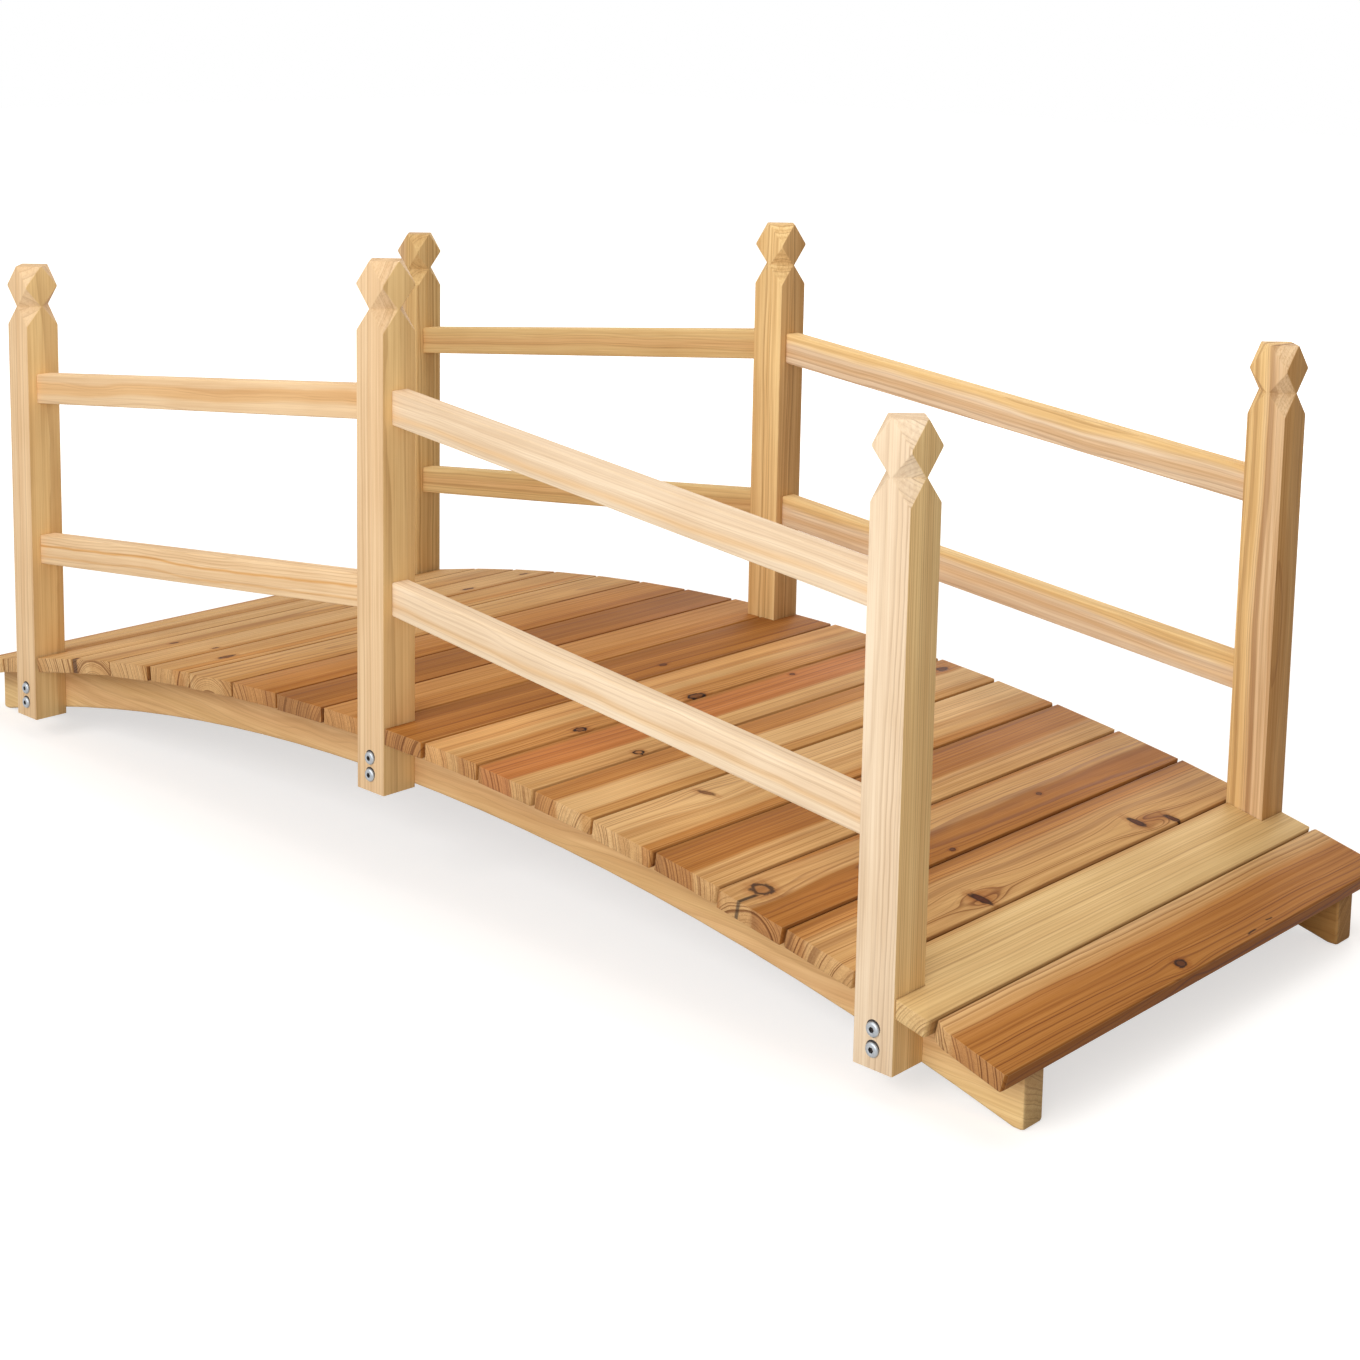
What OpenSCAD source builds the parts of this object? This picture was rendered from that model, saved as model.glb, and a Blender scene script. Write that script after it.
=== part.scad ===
// Arched timber footbridge for a garden. Two sawn stringers carry a deck of cross
// boards, and six square posts with notched finials carry two sloping rails a side.
// The ground is z = 0. The bridge runs along X, and its near side is -Y.

/* [Overall] */
// Width over the outer faces of the posts
width = 680; // [450:1:1200]
// Length of each stringer from end to end
stringer_len = 1652; // [1400:1:2400]

/* [Stringers] */
// Radius of a stringer's curved underside
arch_r = 3154; // [2500:1:6000]
// Depth of a stringer, measured square to its curve
stringer_depth = 54.5; // [40:0.5:120]
// Thickness of a stringer
stringer_t = 30; // [18:0.5:60]
// Length of the level foot under each end of a stringer
foot_len = 11; // [6:0.5:60]

/* [Deck] */
// Number of deck boards on each half of the bridge
half_board_count = 10; // [7:1:14]
// Thickness of a deck board
board_t = 18; // [12:0.5:40]
// Gap between neighbouring boards at the walking surface
board_gap = 1.8; // [1:0.1:8]
// Reach of the last board past the end of the stringers
deck_overhang = 10.5; // [0:0.5:30]
// Easing along the edges of a board
board_ease = 1.8; // [0.5:0.1:4]
// Clearance between a notched board and the post that stands in it
notch_clear = 0.6; // [0.2:0.1:4]
// Narrowest tongue of board left standing beside a post
tongue_min = 15; // [5:1:30]

/* [Posts] */
// Side of a square post
post_side = 44; // [30:1:80]
// Distance from a stringer's end to the centre line of the end post
post_setback = 131.5; // [80:0.1:250]
// Length of a middle post
middle_post_len = 577; // [520:1:1100]
// Length of an end post
end_post_len = 584; // [520:1:1100]
// How far a post's foot hangs below the stringer at its centre line
post_drop = 3; // [0:0.5:30]

/* [Finials] */
// Depth of the belt, the finial's widest line, below the post's top
belt_drop = 25.5; // [15:0.5:40]
// Depth of the neck, the finial's narrowest line, below the post's top
neck_drop = 50.5; // [42:0.5:65]
// Depth of the shoulder, where the cut corners end, below the post's top
shoulder_drop = 75; // [67:0.5:100]
// Flat left on a post's faces and corners where the finial's cuts meet
finial_flat = 1.5; // [0.5:0.1:8]

/* [Rails] */
// Depth of a rail, measured square to its length
rail_h = 37; // [25:0.5:70]
// Thickness of a rail
rail_t = 22; // [14:0.5:28]
// Distance from a post's outer face to a rail's outer face
rail_inset = 11.5; // [0:0.5:16]
// Depth of the upper rail's centre line below the top of the post it meets
upper_rail_drop = 154; // [130:1:260]
// Depth of the lower rail's centre line below the top of the post it meets
lower_rail_drop = 361; // [320:1:430]

/* [Hidden] */
SIDES = ["near", "far"];
BAYS = ["left", "right"];
STATIONS = ["left", "middle", "right"];
LEVELS = ["upper", "lower"];
PINE = [0.94, 0.82, 0.63];
STRAW = [0.82, 0.70, 0.49];
TAN = [0.78, 0.60, 0.39];
RUSSET = [0.68, 0.43, 0.25];
// Tones of the boards, from the left end of the deck, dealt again if there are more
BOARD_TONES = [
    TAN, TAN, TAN, STRAW, TAN, TAN, STRAW, RUSSET, RUSSET, RUSSET,
    RUSSET, STRAW, RUSSET, TAN, STRAW, RUSSET, TAN, TAN, STRAW, RUSSET
];

half_len = stringer_len / 2;
end_post_x = half_len - post_setback;
// Height of the arch's centre, set so that the underside reaches the ground where each
// foot begins
arch_z = -sqrt(pow(arch_r, 2) - pow(half_len - foot_len, 2));
seat_r = arch_r + stringer_depth;
deck_r = seat_r + board_t;
board_step = asin((half_len + deck_overhang) / deck_r) / half_board_count;
board_w = 2 * deck_r * tan(board_step / 2) - board_gap;
stringer_face_y = width / 2 - post_side;
board_count = 2 * half_board_count;
// Radius of a post's corners, and of the line where the cuts leave a face
corner_r = post_side / sqrt(2);
waist_r = (post_side + finial_flat) / (2 * sqrt(2));
// Cuts run past the wood they leave by this much
over = 5;
// The underside is a true arc, which this many facets show closely enough
arc_fn = 720;

function station_x(station) = station == "left" ? -end_post_x : station == "right" ? end_post_x : 0;
function side_sign(side) = side == "near" ? -1 : 1;
function underside_z(x) = arch_z + sqrt(pow(arch_r, 2) - pow(x, 2));
function post_len(station) = station == "middle" ? middle_post_len : end_post_len;
function post_foot_z(station) = underside_z(station_x(station)) - post_drop;
function post_top_z(station) = post_foot_z(station) + post_len(station);
function rail_drop(level) = level == "upper" ? upper_rail_drop : lower_rail_drop;
function board_angle(i) = (i - half_board_count - 0.5) * board_step;
function board_name(i) = str("deck_board_", i < 10 ? "0" : "", i);
function board_reach(i) = board_w / 2 * cos(board_angle(i));
function board_left_x(i) = deck_r * sin(board_angle(i)) - board_reach(i);
function board_right_x(i) = deck_r * sin(board_angle(i)) + board_reach(i);

// An outline drawn in X and Z, set upright from y to y + depth
module upright(y, depth) {
    translate([0, y + depth, 0])
        rotate([90, 0, 0])
            linear_extrude(height = depth)
                children();
}

// Side view of a stringer: a flat seat for every board along the top, a true arc
// below, square ends and a level foot under each end
module stringer_outline() {
    crown_r = seat_r / cos(board_step / 2);
    crown = [
        for (k = [-half_board_count - 1 : half_board_count + 1])
            [crown_r * sin(k * board_step), arch_z + crown_r * cos(k * board_step)]
    ];
    intersection() {
        difference() {
            polygon(concat([[0, arch_z]], crown));
            translate([0, arch_z])
                circle(r = arch_r, $fn = arc_fn);
        }
        translate([-half_len, 0])
            square([stringer_len, deck_r + arch_z]);
    }
}

module stringer(side) {
    y = side == "near" ? -stringer_face_y : stringer_face_y - stringer_t;
    color(PINE)
        upright(y, stringer_t)
            stringer_outline();
}

// The V that each corner loses between the shoulder and the belt, seen along the cut
module neck_cut_outline(top_z) {
    neck_z = top_z - neck_drop;
    reach = 1 + over / (corner_r - waist_r);
    below = neck_z - (top_z - shoulder_drop);
    above = top_z - belt_drop - finial_flat / 2 - neck_z;
    polygon([
        [waist_r, neck_z],
        [corner_r + over, neck_z - reach * below],
        [corner_r + over, neck_z + reach * above]
    ]);
}

// The slope that each corner loses from the belt up to the top, seen along the cut
module crown_cut_outline(top_z) {
    run = corner_r - waist_r;
    fall = belt_drop - finial_flat / 2;
    polygon([
        [corner_r + over, top_z - fall * (1 + over / run)],
        [corner_r + over, top_z + over],
        [waist_r - over * run / fall, top_z + over]
    ]);
}

module post(side, station) {
    foot_z = post_foot_z(station);
    top_z = post_top_z(station);
    y = side_sign(side) * (width - post_side) / 2;
    color(PINE)
        translate([station_x(station), y, 0])
            difference() {
                translate([-post_side / 2, -post_side / 2, foot_z])
                    cube([post_side, post_side, top_z - foot_z]);
                for (turn = [45 : 90 : 315])
                    rotate([0, 0, turn]) {
                        upright(-post_side, 2 * post_side)
                            neck_cut_outline(top_z);
                        upright(-post_side, 2 * post_side)
                            crown_cut_outline(top_z);
                    }
            }
}

// A rail slopes from the middle post down to an end post and butts against both
module rail(side, bay, level) {
    hand = bay == "left" ? -1 : 1;
    inner_x = post_side / 2;
    outer_x = end_post_x - post_side / 2;
    inner_z = post_top_z("middle") - rail_drop(level);
    outer_z = post_top_z("right") - rail_drop(level);
    half_h = rail_h / 2 / cos(atan2(inner_z - outer_z, outer_x - inner_x));
    outer_y = width / 2 - rail_inset;
    y = side == "near" ? -outer_y : outer_y - rail_t;
    color(PINE)
        upright(y, rail_t)
            polygon([
                [hand * inner_x, inner_z - half_h],
                [hand * outer_x, outer_z - half_h],
                [hand * outer_x, outer_z + half_h],
                [hand * inner_x, inner_z + half_h]
            ]);
}

// End view of a board lying on its seat, with its long edges eased
module board_outline() {
    half_w = board_w / 2;
    polygon([
        [-half_w + board_ease, 0],
        [half_w - board_ease, 0],
        [half_w, board_ease],
        [half_w, board_t - board_ease],
        [half_w - board_ease, board_t],
        [-half_w + board_ease, board_t],
        [-half_w, board_t - board_ease],
        [-half_w, board_ease]
    ]);
}

// Room for the posts of one station in board i. A tongue too thin to stand beside a
// post is cut away with the notch
module post_notches(i, station) {
    low_x = station_x(station) - post_side / 2;
    high_x = station_x(station) + post_side / 2;
    from_x = low_x - board_left_x(i) < tongue_min ? board_left_x(i) - board_t : low_x - notch_clear;
    to_x = board_right_x(i) - high_x < tongue_min ? board_right_x(i) + board_t : high_x + notch_clear;
    depth = post_side + notch_clear + over;
    if (low_x < board_right_x(i) && high_x > board_left_x(i))
        for (y = [-width / 2 - over, width / 2 + over - depth])
            translate([from_x, y, 0])
                cube([to_x - from_x, depth, deck_r + arch_z + over]);
}

module deck_board(i) {
    color(BOARD_TONES[(i - 1) % len(BOARD_TONES)])
        difference() {
            translate([0, 0, arch_z])
                rotate([0, board_angle(i), 0])
                    translate([0, 0, seat_r])
                        upright(-width / 2, width)
                            board_outline();
            for (station = STATIONS)
                post_notches(i, station);
        }
}

for (side = SIDES)
    stringer(side);

for (side = SIDES, station = STATIONS)
    post(side, station);

for (side = SIDES, bay = BAYS, level = LEVELS)
    rail(side, bay, level);

for (i = [1 : board_count])
    deck_board(i);
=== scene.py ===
"""Looks of an arched garden bridge: raw planed softwood held by zinc bolts."""

import logging
import math
import random
from dataclasses import dataclass, field, replace
from enum import Enum
from typing import Any

import bmesh
import bpy
from mathutils import Euler, Matrix, Vector


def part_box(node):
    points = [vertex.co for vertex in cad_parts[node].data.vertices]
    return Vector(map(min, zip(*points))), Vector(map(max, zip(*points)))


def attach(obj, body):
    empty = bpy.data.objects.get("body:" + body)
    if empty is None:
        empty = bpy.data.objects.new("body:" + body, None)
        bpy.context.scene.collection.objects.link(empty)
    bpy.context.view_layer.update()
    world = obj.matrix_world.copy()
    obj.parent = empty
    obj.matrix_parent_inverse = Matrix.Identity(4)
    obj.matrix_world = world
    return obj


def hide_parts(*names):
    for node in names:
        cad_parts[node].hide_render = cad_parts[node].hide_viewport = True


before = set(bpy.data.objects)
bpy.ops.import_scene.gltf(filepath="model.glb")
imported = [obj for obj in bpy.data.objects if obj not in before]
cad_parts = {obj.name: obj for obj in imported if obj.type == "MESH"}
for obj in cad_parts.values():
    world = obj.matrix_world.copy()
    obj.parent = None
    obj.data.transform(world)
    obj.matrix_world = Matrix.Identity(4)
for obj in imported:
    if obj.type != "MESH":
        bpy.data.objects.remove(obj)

MM = 0.001
BODY = "root"
LOG = logging.getLogger("garden_bridge")

# Face attribute that marks the eased edges of a timber
RUBBED = "rubbed"

# Turn a piece's local axes into the bridge's. Its show face looks to the near side, and its
# grain runs along the bridge or upright
ALONG_BRIDGE = Matrix(((0, 1, 0), (0, 0, -1), (-1, 0, 0)))
UPRIGHT = Matrix(((1, 0, 0), (0, 0, -1), (0, 1, 0)))

Rgba = tuple[float, float, float, float]
Point = tuple[float, float, float]
BLACK: Rgba = (0.0, 0.0, 0.0, 1.0)
WHITE: Rgba = (1.0, 1.0, 1.0, 1.0)


class Slot(Enum):
    """Material slots of the record."""

    FRAME = "frame_wood"
    DECK = "deck_wood"
    BOLT = "bolt_steel"


class Tone(Enum):
    """Wood colours, written as they look in plain light."""

    CREAM = "f9e6cb"
    PEACH = "f5d8b0"
    GOLD = "fcdda3"
    APRICOT = "ecc491"
    STRAW = "e8ca92"
    SAND = "e5c08a"
    TAN = "d9af76"
    AMBER = "e4b274"
    HONEY = "cb9b5e"
    PINK = "cd985a"
    COPPER = "c68e4e"
    ORANGE = "ca864a"
    RUSSET = "b77d3d"
    BROWN = "a66f33"
    KNOT = "5f351b"
    # Dark bark of knots, also laid in cracks as their painted shadow
    BARK_AND_CRACK_SHADE = "27160d"

    def rgba(self) -> Rgba:
        """The colour in linear light."""
        return linear(self.value)


class Tint(Enum):
    """Stains that darken a colour, with the painted shade of seams and sawn ends: the shares of
    red, green and blue that they leave.
    """

    PATCH = (0.87, 0.80, 0.72)
    YEARS = (0.74, 0.62, 0.50)
    LATE = (0.42, 0.27, 0.16)
    GRAIN = (0.76, 0.66, 0.54)
    FIBRE = (0.76, 0.67, 0.56)
    STREAK = (0.58, 0.43, 0.31)
    PORES = (0.60, 0.45, 0.33)
    END_LATE = (0.34, 0.20, 0.12)
    PAINTED_END_SHADE = (0.50, 0.48, 0.45)
    PAINTED_SEAM_SHADE = (0.45, 0.32, 0.22)
    KNOT_HALO = (0.66, 0.46, 0.31)
    KNOT_RING = (0.50, 0.40, 0.36)
    ZINC_CLOUD = (0.72, 0.74, 0.76)

    def rgba(self) -> Rgba:
        """The stain as a colour."""
        return *self.value, 1.0


class Figure(Enum):
    """Noises in the wood.

    Each has its cycles a millimetre across the show face, along the grain and into the wood,
    what it adds to the piece's seed, and its octaves.
    """

    SWAY = ((0.0, 0.0035, 0.0), 0.0, 1.0)
    RIPPLE = ((0.035, 0.010, 0.035), 1.0, 2.0)
    FIBRE = ((0.7, 0.005, 0.7), 3.0, 4.0)
    GRAIN = ((0.24, 0.0022, 0.24), 4.0, 3.0)
    STREAK = ((1.5, 0.012, 1.5), 5.0, 2.0)
    PATCH = ((0.02, 0.006, 0.02), 8.0, 2.0)
    PORES = ((1.6, 0.2, 1.6), 11.0, 3.0)
    CRACK = ((0.0, 0.024, 0.0), 17.0, 2.0)


def linear(code: str) -> Rgba:
    """Turn a written colour into linear light.

    Args:
        code: Six hexadecimal digits of a display colour.

    Returns:
        Red, green, blue and an alpha of one.
    """
    parts = [int(code[i:i + 2], 16) / 255 for i in (0, 2, 4)]
    red, green, blue = (
        p / 12.92 if p <= 0.04045 else ((p + 0.055) / 1.055) ** 2.4 for p in parts
    )
    return red, green, blue, 1.0


class Signal:
    """A number that varies over a surface; arithmetic on it adds Math nodes."""

    def __init__(self, graph: "Graph", socket: bpy.types.NodeSocket) -> None:
        """Wrap an output socket of a graph."""
        self.graph = graph
        self.socket = socket

    def math(self, operation: str, *others: "Signal | float", swap: bool = False) -> "Signal":
        """Add a Math node.

        Args:
            operation: The node's operation.
            others: The further operands.
            swap: Puts this signal second.

        Returns:
            The result.
        """
        values = [*others, self] if swap else [self, *others]
        inputs = dict(enumerate(values))
        return self.graph.level(self.graph.node("ShaderNodeMath", {"operation": operation}, inputs))

    def __add__(self, other: "Signal | float") -> "Signal":
        """Sum."""
        return self.math("ADD", other)

    __radd__ = __add__

    def __sub__(self, other: "Signal | float") -> "Signal":
        """Difference."""
        return self.math("SUBTRACT", other)

    def __rsub__(self, other: "Signal | float") -> "Signal":
        """Difference from a number."""
        return self.math("SUBTRACT", other, swap=True)

    def __mul__(self, other: "Signal | float") -> "Signal":
        """Product."""
        return self.math("MULTIPLY", other)

    __rmul__ = __mul__

    def __truediv__(self, other: "Signal | float") -> "Signal":
        """Quotient."""
        return self.math("DIVIDE", other)

    def __rtruediv__(self, other: "Signal | float") -> "Signal":
        """Quotient of a number."""
        return self.math("DIVIDE", other, swap=True)

    def rise(self, low: float, high: float) -> "Signal":
        """A smooth step.

        Args:
            low: Where the step is still 0.
            high: Where it has reached 1.

        Returns:
            The step.
        """
        inputs = {"Value": self, "From Min": low, "From Max": high, "To Min": 0.0, "To Max": 1.0}
        settings = {"interpolation_type": "SMOOTHSTEP"}
        return self.graph.level(self.graph.node("ShaderNodeMapRange", settings, inputs))

    def fall(self, low: float, high: float) -> "Signal":
        """A smooth step from 1 at low to 0 at high."""
        return 1 - self.rise(low, high)


class Graph:
    """The node tree of a material or of the world."""

    def __init__(self, owner: bpy.types.Material | bpy.types.World) -> None:
        """Start an empty tree.

        Args:
            owner: The material or world that the tree belongs to.
        """
        owner.use_nodes = True
        self.owner = owner
        self.tree = owner.node_tree
        self.tree.nodes.clear()

    def node(self, kind: str, settings: dict[str, Any] | None = None,
             inputs: dict[str | int, Any] | None = None) -> bpy.types.Node:
        """Add a node.

        Args:
            kind: The node's type.
            settings: Its own settings, set first. Stops are those of a colour ramp.
            inputs: Values or links of its sockets.

        Returns:
            The node.
        """
        made = self.tree.nodes.new(kind)
        for name, value in (settings or {}).items():
            if name == "stops":
                self.set_stops(made.color_ramp.elements, value)
            else:
                setattr(made, name, value)
        for name, value in (inputs or {}).items():
            link = value.socket if isinstance(value, Signal) else value
            if isinstance(link, bpy.types.NodeSocket):
                self.tree.links.new(link, made.inputs[name])
            else:
                made.inputs[name].default_value = link
        return made

    @staticmethod
    def set_stops(elements: bpy.types.ColorRampElements, stops: list[tuple[float, Rgba]]) -> None:
        """Fill a colour ramp.

        Args:
            elements: The ramp's elements.
            stops: Place and colour of each stop, in order.
        """
        while len(elements) < len(stops):
            elements.new(1.0)
        for element, (place, colour) in zip(elements, stops):
            element.position = place
            element.color = colour

    def level(self, node: bpy.types.Node, output: str | int = 0) -> Signal:
        """One output of a node as a signal."""
        return Signal(self, node.outputs[output])

    def mix(self, share: Signal | float, first: Any, second: Any,
            how: str = "MIX") -> bpy.types.NodeSocket:
        """Mix two colours.

        Args:
            share: How much of the second, 0 to 1.
            first: A colour or its socket.
            second: A colour or its socket.
            how: The way of blending.

        Returns:
            The mixed colour's socket.
        """
        settings = {"data_type": "RGBA", "blend_type": how}
        return self.node("ShaderNodeMix", settings, {0: share, 6: first, 7: second}).outputs[2]

    def stain(self, share: Signal | float, colour: Any, tint: Tint) -> bpy.types.NodeSocket:
        """The colour darkened by a share of a stain."""
        return self.mix(share, colour, tint.rgba(), "MULTIPLY")

    def noise(self, place: bpy.types.NodeSocket, pitch: Point, seed: float,
              detail: float) -> bpy.types.Node:
        """Add noise that is stretched along the axes.

        Args:
            place: The vector to read.
            pitch: Cycles for a unit along each axis.
            seed: Shifts the pattern.
            detail: Octaves.

        Returns:
            The noise node.
        """
        shift = (seed * 7.31, seed * 3.17, seed * 5.23)
        where = self.node("ShaderNodeVectorMath", {"operation": "MULTIPLY_ADD"},
                          {0: place, 1: pitch, 2: shift})
        inputs = {"Vector": where.outputs[0], "Scale": 1.0, "Detail": detail, "Roughness": 0.55}
        return self.node("ShaderNodeTexNoise", {"noise_dimensions": "3D"}, inputs)

    def noise_over(self, value: Signal, detail: float) -> Signal:
        """Noise that changes with one value.

        Args:
            value: The value to read.
            detail: Octaves.

        Returns:
            The noise, 0 to 1.
        """
        inputs = {"W": value, "Scale": 1.0, "Detail": detail}
        return self.level(self.node("ShaderNodeTexNoise", {"noise_dimensions": "1D"}, inputs))

    def facing(self, normal: bpy.types.NodeSocket, direction: Vector) -> Signal:
        """How far a surface faces a direction.

        Args:
            normal: The surface's normal.
            direction: The direction, of length one.

        Returns:
            The cosine of the angle between them.
        """
        inputs = {0: normal, 1: direction}
        made = self.node("ShaderNodeVectorMath", {"operation": "DOT_PRODUCT"}, inputs)
        return self.level(made, "Value")

    def close(self, shader: bpy.types.Node) -> bpy.types.Material | bpy.types.World:
        """Feed a shader to the output.

        Args:
            shader: The node of the finished shader.

        Returns:
            The material or world.
        """
        end = "World" if isinstance(self.owner, bpy.types.World) else "Material"
        self.node(f"ShaderNodeOutput{end}", None, {"Surface": shader.outputs[0]})
        return self.owner


@dataclass(frozen=True)
class Knot:
    """A knot in a piece of timber, in millimetres from the middle of its face.

    Its size is its half width. Stretch lengthens it along the grain, dark and rim are the
    strengths of its heart and its bark, and turn tips it by degrees.
    """

    along: float
    across: float
    size: float
    stretch: float = 1.5
    dark: float = 0.85
    rim: float = 0.8
    turn: float = 0.0


@dataclass(frozen=True)
class Split:
    """A crack along the grain, in millimetres from the middle of the face."""

    start: float
    end: float
    across: float
    wide: float = 0.8


@dataclass(frozen=True)
class Timber:
    """How one piece was cut from its log, in millimetres, and its colours from left to right.

    Attributes:
        bands: Right edge of each colour, as a share of the width, and the colour.
        pith: Place of the log's heart from the middle of the piece, across and outwards.
        tilt: How far the heart moves across and outwards over a metre of length.
        ring: Width of a year's ring.
        contrast: Strength of the dark late wood.
        wave: How much the grain wanders.
        edge: Softness of the bands' edges, as a share of the width.
        stripe: Strength of the fibres and streaks.
        seed: Sets the piece's own pattern.
        knots: Its knots.
        splits: Its cracks.
        seam: Shade along its long edges, beside other boards.
        painted_end_shade: How much painted shade darkens its sawn ends.
        side: Colour of its right-hand side, where that differs; painted shade for that side, which
            lies in shade.
    """

    bands: tuple[tuple[float, Tone], ...]
    pith: tuple[float, float] = (-75.0, -30.0)
    tilt: tuple[float, float] = (0.0, 0.0)
    ring: float = 4.5
    contrast: float = 0.6
    wave: float = 1.2
    edge: float = 0.035
    stripe: float = 0.5
    seed: float = 1.0
    knots: tuple[Knot, ...] = ()
    splits: tuple[Split, ...] = ()
    seam: float = 0.0
    painted_end_shade: float = 0.0
    side: Tone | None = None

    def stops(self) -> list[tuple[float, Rgba]]:
        """Colour stops of the bands from the left edge to the right, with soft steps between.

        Returns:
            Place and colour of each stop.
        """
        made = []
        start = 0.0
        for reach, tone in self.bands:
            made.append((min(start + self.edge, reach), tone.rgba()))
            made.append((max(reach - self.edge, start), tone.rgba()))
            start = reach
        return made


@dataclass(frozen=True)
class Lie:
    """How a piece lies, and the width of its show face in millimetres.

    Local Y runs along its grain and local Z out of its show face.
    """

    place: Matrix
    width: float

    def along(self) -> Vector:
        """The direction of the grain."""
        return self.place.to_3x3() @ Vector((0.0, 1.0, 0.0))

    def aside(self) -> Vector:
        """The direction out of the right-hand side."""
        return self.place.to_3x3() @ Vector((1.0, 0.0, 0.0))


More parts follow.
